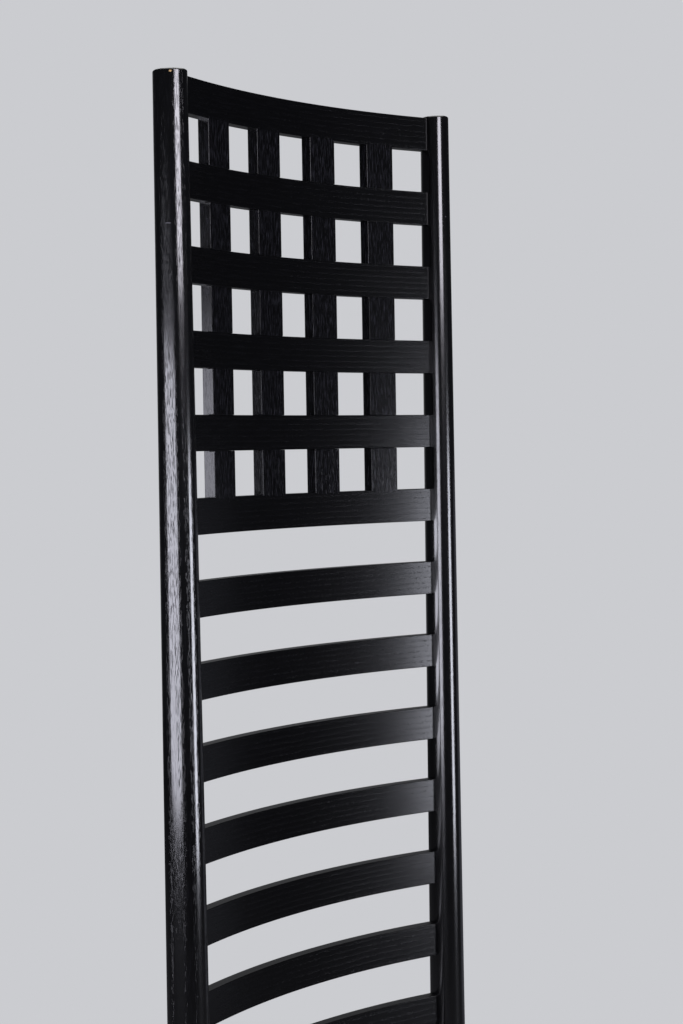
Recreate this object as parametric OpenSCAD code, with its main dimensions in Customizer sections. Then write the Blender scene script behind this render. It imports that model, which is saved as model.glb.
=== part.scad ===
// High back chair: two oval posts carry a curved lattice and ladder back, and a drop-in upholstered seat
// lies in the rebate of the seat rails. -Y is the front, +X is the right seen from the front, +Z is up.
// The origin is on the floor in the middle of the chair's footprint.

/* [Overall] */
// Width over the front legs
overall_w = 410; // [390:1:430]
// Depth from the front legs' faces to the back of the top rail
overall_d = 390; // [370:1:430]

/* [Back posts] */
// Length of a back post along its lean
post_len = 1410; // [1390:1:1500]
// Backward lean of the posts in degrees
rake = 1.28; // [0.5:0.01:2.5]
// Distance between the post centres
post_span = 313; // [300:1:325]
// Long axis of a post's oval section at the floor
post_foot = 39; // [37:0.1:42]
// Long axis of a post's oval section at the top
post_top = 27.2; // [25:0.1:32]
// Short axis of a post's section as a share of the long axis
post_flat = 0.84; // [0.8:0.01:0.95]
// Chamfer round a post's top
post_edge = 1.5; // [0.5:0.1:3]
// How far a post stands above the top rail
post_proud = 1.5; // [0:0.1:6]

/* [Curved slats] */
// Radius of the slats' front faces
bow_r = 520; // [480:5:700]
// How far a slat's front face lies before the post's centre
slat_front = 4.4; // [3:0.1:5.5]
// Height of a rail or slat of the back
slat_h = 28; // [25:0.5:29]
// Thickness of a rail or slat of the back
slat_t = 10; // [8:0.5:11]
// Depth of a slat's end in the post
slat_house = 10; // [7:0.5:10.5]
// Pitch of the lattice, down and across
lattice_pitch = 64; // [62:0.5:65]
// Width of an upright of the lattice
upright_w = 28; // [22:0.5:30]
// Length of the tenon on an upright's end
upright_tenon = 12; // [6:0.5:18]
// Thickness of the tenon on an upright's end
upright_tenon_t = 4; // [3:0.5:5]
// Shoulder beside the tenon on an upright's end
upright_shoulder = 3; // [2:0.5:6]
// Pitch of the ladder slats
ladder_pitch = 63.4; // [62:0.1:64]

/* [Seat rails] */
// Height of the seat rails' tops above the floor
rail_top = 420; // [405:1:430]
// Height of a seat rail
rail_h = 50; // [45:1:56]
// Thickness of a seat rail
rail_t = 22; // [20:0.5:24]
// How far the rails' faces lie behind the legs' faces
rail_set = 1.5; // [0.5:0.5:3]
// How far the rear seat rail's front face lies before the posts' centres
rear_rail_front = 18; // [18:0.5:19]
// Thickness of the seat rails' tenons
tenon_t = 9; // [7:0.5:10]
// Shoulder above and below a seat rail's tenon
tenon_shoulder = 5; // [4:0.5:8]
// Length of the side rails' tenons in the front legs
leg_tenon = 14; // [10:0.5:14.5]
// Length of the front rail's tenons in the front legs
front_tenon = 18; // [12:0.5:22]
// Length of the seat rails' tenons in the back posts
post_tenon = 10; // [8:0.5:11]

/* [Legs and stretchers] */
// Width of a front leg where the seat rails meet it
leg_top_w = 34; // [32:0.5:38]
// Width of a front leg at the floor
leg_foot_w = 27; // [25:0.5:30]
// How far below the seat rails a leg's taper starts
taper_drop = 12; // [5:1:40]
// Height of a stretcher
rung_h = 27.5; // [20:0.5:32]
// Thickness of a stretcher
rung_t = 12; // [10:0.5:14]
// Depth of a stretcher's end in a leg or post
rung_house = 11; // [8:0.5:12]

/* [Rebate and corner blocks] */
// Depth of the rebate that holds the drop-in seat
rebate_h = 14; // [10:0.5:18]
// Thickness of the rails' lip outside the rebate
lip_t = 13; // [12:0.5:14]
// Radius of the rebate's front corners
front_corner_r = 12; // [8:1:16]
// Radius of the rebate's rear corners, which pass the posts
rear_corner_r = 32; // [31:1:36]
// Height of a corner block
block_h = 28; // [20:1:32]
// Length of a corner block along each rail
block_leg = 58; // [54:1:64]
// How far a corner block's top lies below the rebate
block_drop = 3; // [2.5:0.5:5]
// Radius of a block screw's shank
screw_r = 2; // [1.5:0.1:2.5]
// Length of a block screw's shank
screw_len = 30; // [25:1:32]
// Radius of a block screw's head
screw_head_r = 4; // [3.5:0.1:4.5]
// Height of a block screw's head
screw_head_h = 2.4; // [1.5:0.1:3]
// Distance of a block screw from its corner
screw_off = 34; // [30:1:38]
// Depth of the block's wood under a screw's head
screw_grip = 16; // [14:1:19]

/* [Glides] */
// Radius of a foot glide
glide_r = 11; // [9:0.5:12]
// Thickness of a foot glide
glide_t = 4; // [3.5:0.5:6]
// Chamfer round a glide's lower edge
glide_edge = 1; // [0.5:0.1:1.5]
// Radius of a glide nail's shank
nail_r = 1.25; // [1:0.05:1.5]
// Length of a glide nail in the wood
nail_len = 15; // [10:1:20]
// Radius of a glide nail's head
nail_head_r = 3; // [2:0.1:4]
// Thickness of a glide nail's head
nail_head_t = 1; // [0.8:0.1:1.4]
// Depth of a nail's head in its glide
nail_sink = 1; // [0.5:0.1:1.4]

/* [Drop-in seat] */
// Gap between the seat's edge and the rebate
seat_gap = 1; // [0.8:0.1:2]
// Thickness of the seat cover's cloth
cloth_t = 1.2; // [0.8:0.1:1.5]
// Width of the seat frame's members
member_w = 45; // [40:1:55]
// Thickness of the seat frame's members
member_t = 20; // [16:0.5:24]
// Radius of the seat frame's dowels
dowel_r = 4; // [3:0.5:5]
// Length of the seat frame's dowels
dowel_len = 30; // [24:1:40]
// Distance between the two dowels of a joint
dowel_pitch = 22; // [16:1:26]
// Width of a webbing strap
web_w = 50; // [40:1:55]
// Thickness of a webbing strap
web_t = 1.4; // [1:0.1:2]
// Distance between the webbing straps' middles
web_pitch = 80; // [60:1:85]
// Distance of a strap's end from the seat's edge
web_inset = 15; // [8:1:20]
// Thickness of the hessian
hessian_t = 0.8; // [0.6:0.1:1.2]
// Distance of the hessian's edge from the seat's edge
hessian_inset = 6; // [4:1:12]
// Height of the foam pad's straight side
pad_side_h = 9; // [6:0.5:16]
// Radius of the roll between the pad's side and its crown
pad_roll = 9; // [6:0.5:12]
// Rise of the pad's crown above its roll
pad_crown = 13; // [8:0.5:20]
// How far the pad's side swells out over the rails, where the frame below draws it in
pad_swell = 1.5; // [0.5:0.1:2]
// Width of the cover that is turned under the frame
turn_under = 22; // [20:1:26]
// Thickness of the dust cover
dust_t = 0.5; // [0.4:0.1:0.8]
// Distance of the dust cover's edge from the seat's edge
dust_inset = 11; // [11:0.5:12]
// Distance of the tacks from the seat's edge
tack_inset = 15; // [14:0.5:17]
// Distance between the tacks along an edge, about
tack_pitch = 40; // [30:1:60]
// Distance of an edge's end tacks from the seat's corners
tack_end = 70; // [66:1:80]
// Radius of a tack's head
tack_head_r = 4; // [3:0.5:4.5]
// Thickness of a tack's head
tack_head_t = 0.8; // [0.5:0.1:1]
// Radius of a tack's shank
tack_r = 0.9; // [0.7:0.1:1]
// Length of a tack's shank
tack_len = 11; // [8:1:14]

/* [Fits] */
// Gap in the glued wood joints
joint_gap = 0.1; // [0.05:0.01:0.15]
// Gap at the end of a blind mortise or hole
end_gap = 0.4; // [0.2:0.1:0.6]
// Gap under the seat where it rests in the rebate
rest_gap = 0.2; // [0.1:0.1:0.3]
// Gap between the foam and its cover
soft_gap = 0.3; // [0.2:0.1:0.5]

/* [Hidden] */
// Open squares of the lattice each way, ladder slats above and slats below the seat, straps each way
lattice_n = 5;
ladder_n = 9;
lower_n = 5;
strap_n = 3;

stain_colour = "#1d1d1e";
beech_colour = "#c9a679";
steel_colour = "#b8bbc0";
nylon_colour = "#2b2b2b";
jute_colour = "#b39a6b";
foam_colour = "#e8dfae";
cloth_colour = "#57545a";
lining_colour = "#26262a";

$fn = 48;
bow_fn = 360;
// How far a cutting shape runs past the face that it opens
cut = 1;

// The back, measured in its tilted frame
post_x = post_span / 2;
post_turn = asin(post_x / bow_r);
bow_y = -slat_front - sqrt(pow(bow_r, 2) - pow(post_x, 2));
top_rail_top = post_len - post_proud;
back_reach = bow_y + bow_r + slat_t;
front_y = -overall_d / 2;
foot_y = overall_d / 2 - back_reach * cos(rake) - top_rail_top * sin(rake);
lattice_zs = [for (i = [0:lattice_n]) top_rail_top - slat_h - i * lattice_pitch];
ladder_zs = [for (i = [1:ladder_n]) lattice_zs[lattice_n] - i * ladder_pitch];
lower_zs = [for (i = [1:lower_n]) rail_top - rail_h - i * ladder_pitch];
upright_z = lattice_zs[lattice_n] + slat_h;
upright_h = lattice_zs[0] - upright_z;
upright_turns = [for (i = [1:lattice_n - 1]) turn_of((i - lattice_n / 2) * lattice_pitch)];

// The seat rails, legs and stretchers
rail_z = rail_top - rail_h;
rail_mid = rail_z + rail_h / 2;
tenon_z = rail_z + tenon_shoulder;
tenon_h = rail_h - rebate_h - 2 * tenon_shoulder;
taper_z = rail_z - taper_drop;
leg_y = front_y + leg_top_w / 2;
leg_inner_x = overall_w / 2 - leg_top_w;
front_rail_y = front_y + rail_set;
rear_rail_y = post_y(rail_mid) - rear_rail_front;
side_x = overall_w / 2 - rail_set - rail_t / 2;
side_rear_x = post_x + post_minor(rail_mid) - rail_set - rail_t / 2;
side_run = post_y(rail_mid) - leg_y;
side_turn = atan((side_x - side_rear_x) / side_run);
side_len = side_run / cos(side_turn);
side_rung_zs = [lower_zs[1], lower_zs[3]];
front_rung_z = lower_zs[2];

// The rebate, the corner blocks and the drop-in seat
pocket_front = front_rail_y + lip_t;
pocket_rear = rear_rail_y + rail_t - lip_t;
pocket_inside = lip_t - rail_t / 2;
pocket_z = rail_top - rebate_h;
pad_mid_y = (pocket_front + pocket_rear) / 2;
pad_run = pocket_rear - pocket_front;
block_z = pocket_z - block_drop - block_h;
seat_z = pocket_z + rest_gap;
member_z = seat_z + cloth_t;
web_z = member_z + member_t;
hessian_z = web_z + 2 * web_t;
pad_z = hessian_z + hessian_t;
pad_shoulder_z = pad_z + pad_side_h + pad_roll;
frame_inset = seat_gap + cloth_t + joint_gap;
foam_inset = seat_gap + cloth_t + soft_gap;
member_front = pocket_front + frame_inset + member_w;
member_rear = pocket_rear - frame_inset - member_w;
front_tacks_run = 2 * (side_line(pocket_front, pocket_inside) - tack_end);
rear_tacks_run = 2 * (side_line(pocket_rear, pocket_inside) - tack_end);
tack_spots = concat(
    [for (x = spread(front_tacks_run)) [x, pocket_front + tack_inset]],
    [for (x = spread(rear_tacks_run)) [x, pocket_rear - tack_inset]],
    [for (side = [-1, 1]) for (y = spread(pad_run - 2 * tack_end))
        [side * side_line(pad_mid_y + y, pocket_inside + tack_inset), pad_mid_y + y]]
);

// Facets of the soft pieces, and how fast the crown's rings turn from the seat's outline to an oval
corner_steps = 4;
side_steps = 4;
edge_steps = 2;
crown_steps = 7;
roll_steps = 4;
crown_turn = 3;
least_corner_r = 0.5;

// The bearing that a length along the slats' front faces spans, in degrees
function turn_of(length) = length / bow_r * 180 / PI;
// Half the long and the short axis of a post's section at a height along the post
function post_major(z) = (post_foot + (post_top - post_foot) * z / post_len) / 2;
function post_minor(z) = post_flat * post_major(z);
// Where a post's centre line stands, front to back, at a height above the floor
function post_y(z) = foot_y + z * tan(rake);
// How far a post's section reaches forward of its centre
function post_reach(z) = norm([post_major(z) * cos(post_turn), post_minor(z) * sin(post_turn)]);
// The bearing at which a slat's end stands in its mortise
function slat_end(z) = post_turn - turn_of(post_minor(z) - slat_house);
// Width and centre of a front leg at a height
function leg_w(z) = z > taper_z ? leg_top_w : leg_foot_w + (leg_top_w - leg_foot_w) * z / taper_z;
function leg_cx(z) = (overall_w - leg_w(z)) / 2;
function leg_cy(z) = front_y + leg_w(z) / 2;
// A line alongside the side rail's centre line, a distance nearer the middle of the chair
function side_line(y, inside = 0) = side_x - (y - leg_y) * tan(side_turn) - inside / cos(side_turn);

// The rebate's outline set in by g, anticlockwise from the middle of its front edge
function corner_arc(end_y, dir, r, from, to, g) =
    let (c = max(r, g + least_corner_r), cy = end_y + dir * c, cx = side_line(cy, pocket_inside + c))
        [for (i = [0:corner_steps]) let (a = from + (to - from) * i / corner_steps)
            [cx + (c - g) * cos(a), cy + (c - g) * sin(a)]];
function between(p, q, n) = [for (i = [1:n]) p + (q - p) * i / (n + 1)];
function half_outline(g) =
    let (
        front = corner_arc(pocket_front, 1, front_corner_r, -90, side_turn, g),
        rear = corner_arc(pocket_rear, -1, rear_corner_r, side_turn, 90, g),
        first = [0, pocket_front + g],
        last = [0, pocket_rear - g]
    )
        concat(
            [first], between(first, front[0], edge_steps), front,
            between(front[corner_steps], rear[0], side_steps), rear,
            between(rear[corner_steps], last, edge_steps), [last]
        );
function outline(g) =
    let (half = half_outline(g))
        concat(half, [for (i = [len(half) - 2:-1:1]) [-half[i][0], half[i][1]]]);

// One level ring of the pad: the outline set in by g, at a share u of its size and rounder as u falls
function ring(g, u, z) =
    let (hx = side_line(pad_mid_y, pocket_inside + g), hy = pad_run / 2 - g)
        [for (p = outline(g))
            let (
                d = p - [0, pad_mid_y], a = atan2(d[1] / hy, d[0] / hx), oval = [hx * cos(a), hy * sin(a)],
                q = u * (oval + (d - oval) * pow(u, crown_turn))
            )
                [q[0], pad_mid_y + q[1], z]];
function ring_at(g, z) = [for (p = outline(g)) [p[0], p[1], z]];
// The pad's crown and roll from the middle outwards, for a skin's inset and top height
function pad_rings(g, top) =
    let (
        edge = 1 - pad_roll / (pad_run / 2 - g),
        out = g - pad_swell, shoulder = top - pad_crown
    )
        concat(
            [for (k = [1:crown_steps - 1])
                let (s = k / crown_steps) ring(out, s * edge, top - pad_crown * s * s)],
            [for (k = [0:roll_steps])
                let (a = 90 * k / roll_steps)
                    ring_at(out + pad_roll * (1 - sin(a)), shoulder - pad_roll * (1 - cos(a)))]
        );
function backwards(list) = [for (i = [len(list) - 1:-1:0]) list[i]];

// Even places along a run, its ends among them, about a tack's pitch apart
function spread(run) = let (n = round(run / tack_pitch)) [for (i = [0:n]) (i / n - 1 / 2) * run];

// A closed skin through level rings, from a point over the middle to a point under it. Its quads are parted
// from the inner ring's corner, also in the rings after the turn, where it comes back inside itself.
module skin(top, rings, bottom, turn = 100) {
    n = len(rings[0]);
    last = len(rings) - 1;
    points = concat([top], [for (r = rings) for (p = r) p], [bottom]);
    faces = concat(
        [for (i = [0:n - 1]) [0, 1 + (i + 1) % n, 1 + i]],
        [for (k = [0:last - 1]) for (i = [0:n - 1])
            let (a = 1 + k * n + i, b = 1 + k * n + (i + 1) % n)
                each k < turn ? [[a, b, b + n], [a, b + n, a + n]] : [[a, b, a + n], [b, b + n, a + n]]],
        [for (i = [0:n - 1]) [1 + last * n + i, 1 + last * n + (i + 1) % n, 1 + (last + 1) * n]]
    );
    polyhedron(points, faces);
}

// The tilted frame of the back, with its origin between the feet of the posts
module raked() translate([0, foot_y, 0]) rotate([-rake, 0, 0]) children();
module both_sides() for (m = [0, 1]) mirror([m, 0, 0]) children();
module left() mirror([1, 0, 0]) children();

// A board bent round the back's curve between two bearings, from a lower edge up
module bow(from, to, z, h, front = 0, thick = slat_t)
    translate([0, bow_y, z]) rotate([0, 0, 90 - to]) rotate_extrude(angle = to - from, $fn = bow_fn)
        translate([bow_r + front, 0]) square([thick, h]);
module slat_blank(z) bow(-slat_end(z), slat_end(z), z, slat_h);
module slat_mortise(z)
    bow(
        slat_end(z) - turn_of(2 * slat_house), slat_end(z) + turn_of(end_gap),
        z - joint_gap, slat_h + 2 * joint_gap, -joint_gap, slat_t + 2 * joint_gap
    );
module slat(z) color(stain_colour) raked() slat_blank(z);

module upright_tenons(turn, grow = 0) {
    half = turn_of(upright_w / 2 - upright_shoulder + grow);
    bow(
        turn - half, turn + half, upright_z - upright_tenon - grow, upright_h + 2 * upright_tenon + 2 * grow,
        (slat_t - upright_tenon_t) / 2 - grow, upright_tenon_t + 2 * grow
    );
}
module end_rail(z) color(stain_colour) raked() difference() {
    slat_blank(z);
    for (turn = upright_turns) upright_tenons(turn, joint_gap);
}
// The rails run on in front at each crossing, and the uprights behind
module lattice_rail(i) color(stain_colour) raked() difference() {
    slat_blank(lattice_zs[i]);
    for (turn = upright_turns)
        bow(
            turn - turn_of(upright_w / 2 + joint_gap), turn + turn_of(upright_w / 2 + joint_gap),
            lattice_zs[i] - cut, slat_h + 2 * cut, (slat_t - joint_gap) / 2, slat_t
        );
}
module lattice_upright(i) color(stain_colour) raked() difference() {
    turn = upright_turns[i - 1];
    union() {
        bow(turn - turn_of(upright_w / 2), turn + turn_of(upright_w / 2), upright_z, upright_h);
        upright_tenons(turn);
    }
    for (k = [1:lattice_n - 1])
        bow(
            turn - turn_of(upright_w), turn + turn_of(upright_w), lattice_zs[k] - joint_gap,
            slat_h + 2 * joint_gap, -cut, slat_t / 2 + cut + joint_gap / 2
        );
}

module post_blank(grow = 0)
    raked() translate([post_x, 0, 0]) rotate([0, 0, -post_turn]) scale([post_flat, 1, 1]) rotate_extrude()
        polygon([
            [0, -post_foot], [post_major(-post_foot) + grow, -post_foot],
            [post_major(post_len - post_edge) + grow, post_len - post_edge],
            [post_major(post_len) - post_edge + grow, post_len], [0, post_len]
        ]);
module back_post() color(stain_colour) difference() {
    post_blank();
    raked() for (z = concat(lattice_zs, ladder_zs, lower_zs)) slat_mortise(z);
    rear_tenons(joint_gap, end_gap);
    side_tenons(joint_gap, end_gap);
    for (z = side_rung_zs) side_rung(z, joint_gap, end_gap);
    at_post_foot() nail(joint_gap, end_gap);
    translate([post_x - post_foot, foot_y - post_foot, glide_t - 2 * post_foot]) cube(2 * post_foot);
}

// The front leg on the +X side: its two outer faces stand plumb and its two inner faces taper
function leg_side(grow) = [
    [-grow, glide_t], [leg_w(glide_t) + grow, glide_t], [leg_top_w + grow, taper_z],
    [leg_top_w + grow, rail_top], [-grow, rail_top]
];
module leg_blank(grow = 0) intersection() {
    translate([overall_w / 2, leg_y, 0]) mirror([1, 0, 0]) rotate([90, 0, 0])
        linear_extrude(2 * leg_top_w, center = true) polygon(leg_side(grow));
    translate([overall_w / 2 - leg_top_w / 2, front_y, 0]) rotate([90, 0, 90])
        linear_extrude(2 * leg_top_w, center = true) polygon(leg_side(grow));
}
module front_leg() color(stain_colour) difference() {
    leg_blank();
    front_tenons(joint_gap, end_gap);
    side_tenons(joint_gap, end_gap);
    for (z = side_rung_zs) side_rung(z, joint_gap, end_gap);
    front_rung(joint_gap, end_gap);
    at_leg_foot() nail(joint_gap, end_gap);
    pocket();
}

// The tenons at both ends of a rail are one bar through it, grown and lengthened to cut their mortises
module front_tenons(grow = 0, ends = 0) {
    x = leg_inner_x + front_tenon + ends;
    translate([-x, front_rail_y + (rail_t - tenon_t) / 2 - grow, tenon_z - grow])
        cube([2 * x, tenon_t + 2 * grow, tenon_h + 2 * grow]);
}
module rear_tenons(grow = 0, ends = 0) {
    x = post_x - post_minor(rail_mid) + post_tenon + ends;
    translate([-x, rear_rail_y + (rail_t - tenon_t) / 2 - grow, tenon_z - grow])
        cube([2 * x, tenon_t + 2 * grow, tenon_h + 2 * grow]);
}
module side_tenons(grow = 0, ends = 0) {
    from = leg_top_w / 2 - leg_tenon - ends;
    to = side_len - post_reach(rail_mid) + post_tenon + ends;
    translate([side_x, leg_y, tenon_z - grow]) rotate([0, 0, side_turn])
        translate([-tenon_t / 2 - grow, from, 0]) cube([tenon_t + 2 * grow, to - from, tenon_h + 2 * grow]);
}
module front_seat_rail() color(stain_colour) difference() {
    union() {
        x = leg_inner_x - joint_gap;
        translate([-x, front_rail_y, rail_z]) cube([2 * x, rail_t, rail_h]);
        front_tenons();
    }
    pocket();
    both_sides() at_corner(true) block_screws(joint_gap, end_gap);
}
module rear_seat_rail() color(stain_colour) difference() {
    union() {
        difference() {
            translate([-post_x, rear_rail_y, rail_z]) cube([post_span, rail_t, rail_h]);
            both_sides() {
                post_blank(joint_gap);
                side_blank(joint_gap, cut);
            }
        }
        rear_tenons();
    }
    pocket();
    both_sides() at_corner(false) block_screws(joint_gap, end_gap);
}
module side_blank(grow = 0, over = 0)
    translate([side_x, leg_y, rail_z - over]) rotate([0, 0, side_turn]) translate([-rail_t / 2 - grow, 0, 0])
        cube([rail_t + 2 * grow, side_len - post_reach(rail_mid) / 2, rail_h + 2 * over]);
module side_seat_rail() color(stain_colour) difference() {
    union() {
        difference() {
            side_blank();
            leg_blank(joint_gap);
            post_blank(joint_gap);
        }
        side_tenons();
    }
    pocket();
    for (front = [true, false]) at_corner(front) block_screws(joint_gap, end_gap);
}

// Stretchers are housed whole in the legs and posts
module side_rung(z, grow = 0, ends = 0) {
    run = [leg_cx(z) - post_x, post_y(z) - leg_cy(z)];
    from = leg_w(z) / 2 - rung_house - ends;
    to = norm(run) - post_reach(z) + rung_house + ends;
    translate([leg_cx(z), leg_cy(z), z - grow]) rotate([0, 0, atan(run[0] / run[1])])
        translate([-rung_t / 2 - grow, from, 0]) cube([rung_t + 2 * grow, to - from, rung_h + 2 * grow]);
}
module front_rung(grow = 0, ends = 0) {
    x = leg_cx(front_rung_z) - leg_w(front_rung_z) / 2 + rung_house + ends;
    translate([-x, leg_cy(front_rung_z) - rung_t / 2 - grow, front_rung_z - grow])
        cube([2 * x, rung_t + 2 * grow, rung_h + 2 * grow]);
}
module side_stretcher(i) color(stain_colour) side_rung(side_rung_zs[i]);
module front_stretcher() color(stain_colour) front_rung();

// The space above the rebate's floor
module pocket() translate([0, 0, pocket_z]) linear_extrude(rebate_h + cut) polygon(outline(0));
// The inner faces of the four seat rails, set in by g
function rail_inside(g) =
    let (
        yf = front_rail_y + rail_t + g, yr = rear_rail_y - g, inside = rail_t / 2 + g,
        xf = side_line(yf, inside), xr = side_line(yr, inside)
    )
        [[-xf, yf], [xf, yf], [xr, yr], [-xr, yr]];
// A corner of the seat rails on the +X side, with its own X and Y along the rails' inner faces
module at_corner(front) {
    y = front ? front_rail_y + rail_t : rear_rail_y;
    translate([side_line(y, rail_t / 2), y, block_z]) mirror([1, 0, 0]) mirror([0, front ? 0 : 1, 0])
        children();
}
module corner_block(front) color(beech_colour) difference() {
    intersection() {
        at_corner(front) linear_extrude(block_h)
            polygon([[-rail_t, -rail_t], [block_leg + rail_t, -rail_t], [-rail_t, block_leg + rail_t]]);
        translate([0, 0, block_z]) linear_extrude(block_h) polygon(rail_inside(joint_gap));
    }
    leg_blank(joint_gap);
    at_corner(front) block_screws(2 * joint_gap, end_gap, true);
}
// The two screws of a corner, one into each rail, or with bored true the holes that clear their heads
module block_screws(grow = 0, ends = 0, bored = false)
    for (m = [0, 1]) mirror([m, -m, 0])
        translate([screw_off, screw_grip - screw_len, block_h / 2]) rotate([-90, 0, 0]) {
            translate([0, 0, -ends]) cylinder(r = screw_r + grow, h = screw_len + ends);
            translate([0, 0, screw_len]) cylinder(
                r = screw_head_r + (bored ? end_gap : 0), h = bored ? block_leg : screw_head_h
            );
        }

module corner_screws() color(steel_colour) both_sides()
    for (front = [true, false]) at_corner(front) block_screws();

// The foot glides and their nails
module at_post_foot() translate([post_x, foot_y + glide_t * tan(rake), 0]) children();
module at_leg_foot() translate([leg_cx(0), leg_cy(0), 0]) children();
module nail(grow = 0, ends = 0) {
    translate([0, 0, nail_sink]) cylinder(r = nail_head_r + grow, h = nail_head_t);
    cylinder(r = nail_r + grow, h = glide_t + nail_len + ends);
}
module glide() difference() {
    rotate_extrude() polygon([
        [0, 0], [glide_r - glide_edge, 0], [glide_r, glide_edge], [glide_r, glide_t], [0, glide_t]
    ]);
    translate([0, 0, -cut]) cylinder(r = nail_head_r + joint_gap, h = cut + nail_sink + nail_head_t);
    cylinder(r = nail_r + joint_gap, h = glide_t + cut);
}

// The drop-in seat: a dowelled frame, two layers of webbing, hessian, foam, cover and dust cover
function member_line(y) = side_line(y, pocket_inside + frame_inset + member_w);
module beside_members(grow) polygon([
    [member_line(pocket_front) + grow, pocket_front], [overall_w, pocket_front], [overall_w, pocket_rear],
    [member_line(pocket_rear) + grow, pocket_rear]
]);
module side_member() color(beech_colour) difference() {
    translate([0, 0, member_z]) linear_extrude(member_t) intersection() {
        polygon(outline(frame_inset));
        beside_members(0);
    }
    dowels(joint_gap / 2, end_gap);
    tacks(joint_gap / 2);
}
module end_member(front) color(beech_colour) difference() {
    translate([0, 0, member_z]) linear_extrude(member_t) difference() {
        polygon(outline(frame_inset));
        both_sides() beside_members(-joint_gap);
        translate([-overall_w, front ? member_front : member_rear - 2 * overall_w]) square(2 * overall_w);
    }
    both_sides() dowels(joint_gap / 2, end_gap);
    tacks(joint_gap / 2);
}
module dowels(grow = 0, ends = 0)
    for (y = [member_front - member_w / 2, member_rear + member_w / 2]) for (side = [-1, 1]) {
        at = y + side * dowel_pitch / 2;
        translate([member_line(at) - dowel_len / 2 - ends, at, member_z + member_t / 2]) rotate([0, 90, 0])
            cylinder(r = dowel_r + grow, h = dowel_len + 2 * ends);
    }
module seat_dowels() color(beech_colour) both_sides() dowels();

module cross_webbing() color(jute_colour)
    for (i = [1:strap_n]) {
        y = pad_mid_y + (i - (strap_n + 1) / 2) * web_pitch;
        x = side_line(y + web_w / 2, pocket_inside + web_inset);
        translate([-x, y - web_w / 2, web_z]) cube([2 * x, web_w, web_t]);
    }
module long_webbing() color(jute_colour)
    for (i = [1:strap_n])
        translate([(i - (strap_n + 1) / 2) * web_pitch - web_w / 2, pocket_front + web_inset, web_z + web_t])
            cube([web_w, pad_run - 2 * web_inset, web_t]);
module hessian_sheet() color(jute_colour)
    translate([0, 0, hessian_z]) linear_extrude(hessian_t) polygon(outline(hessian_inset));
module foam_pad() color(foam_colour) {
    top = pad_shoulder_z + pad_crown;
    skin(
        [0, pad_mid_y, top], concat(pad_rings(foam_inset, top), [ring_at(foam_inset, pad_z)]),
        [0, pad_mid_y, pad_z]
    );
}
module seat_cover() color(cloth_colour) {
    inner_top = pad_shoulder_z + pad_crown + soft_gap;
    outer_top = inner_top + cloth_t;
    inner = seat_gap + cloth_t;
    hem = seat_gap + turn_under;
    outside = concat(
        pad_rings(seat_gap, outer_top), [ring_at(seat_gap, web_z), ring_at(seat_gap, seat_z)],
        [ring_at(hem, seat_z)]
    );
    skin(
        [0, pad_mid_y, outer_top],
        concat(
            outside, [ring_at(hem, member_z), ring_at(inner, member_z), ring_at(inner, web_z)],
            backwards(pad_rings(inner, inner_top))
        ),
        [0, pad_mid_y, inner_top], len(outside)
    );
}
module dust_cover() color(lining_colour) difference() {
    translate([0, 0, seat_z - dust_t]) linear_extrude(dust_t) polygon(outline(dust_inset));
    both_sides() leg_blank(seat_gap);
    tacks(joint_gap / 2);
}
module tacks(grow = 0)
    for (spot = tack_spots) translate([spot[0], spot[1], seat_z - dust_t]) {
        translate([0, 0, -tack_head_t]) cylinder(r = tack_head_r, h = tack_head_t);
        cylinder(r = tack_r + grow, h = tack_len + grow);
    }

module cover_tacks() color(steel_colour) tacks();

module foot_glides() color(nylon_colour) both_sides() {
    at_post_foot() glide();
    at_leg_foot() glide();
}
module glide_nails() color(steel_colour) both_sides() {
    at_post_foot() glide_nail();
    at_leg_foot() glide_nail();
}
module glide_nail() {
    translate([0, 0, nail_sink]) cylinder(r = nail_head_r, h = nail_head_t);
    translate([0, 0, nail_sink]) cylinder(r = nail_r, h = glide_t + nail_len - nail_sink);
}

left() back_post();  // left_back_post
back_post();  // right_back_post
end_rail(lattice_zs[0]);  // top_rail
end_rail(lattice_zs[lattice_n]);  // lattice_base_rail
for (i = [1:lattice_n - 1]) lattice_rail(i);
for (i = [1:lattice_n - 1]) lattice_upright(i);
for (i = [1:ladder_n]) slat(ladder_zs[i - 1]);
for (i = [1:lower_n]) slat(lower_zs[i - 1]);
front_seat_rail();
rear_seat_rail();
left() side_seat_rail();  // left_seat_rail
side_seat_rail();  // right_seat_rail
left() front_leg();  // left_front_leg
front_leg();  // right_front_leg
front_stretcher();
left() side_stretcher(0);  // left_upper_stretcher
left() side_stretcher(1);  // left_lower_stretcher
side_stretcher(0);  // right_upper_stretcher
side_stretcher(1);  // right_lower_stretcher
left() corner_block(true);  // front_left_block
corner_block(true);  // front_right_block
left() corner_block(false);  // rear_left_block
corner_block(false);  // rear_right_block
corner_screws();
foot_glides();
glide_nails();
end_member(true);  // seat_front_member
end_member(false);  // seat_rear_member
left() side_member();  // seat_left_member
side_member();  // seat_right_member
seat_dowels();
cross_webbing();
long_webbing();
hessian_sheet();
foam_pad();
seat_cover();
dust_cover();
cover_tacks();
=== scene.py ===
import random
from functools import partial
from math import asin, atan, cos, pi, radians, sin, tan

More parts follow.
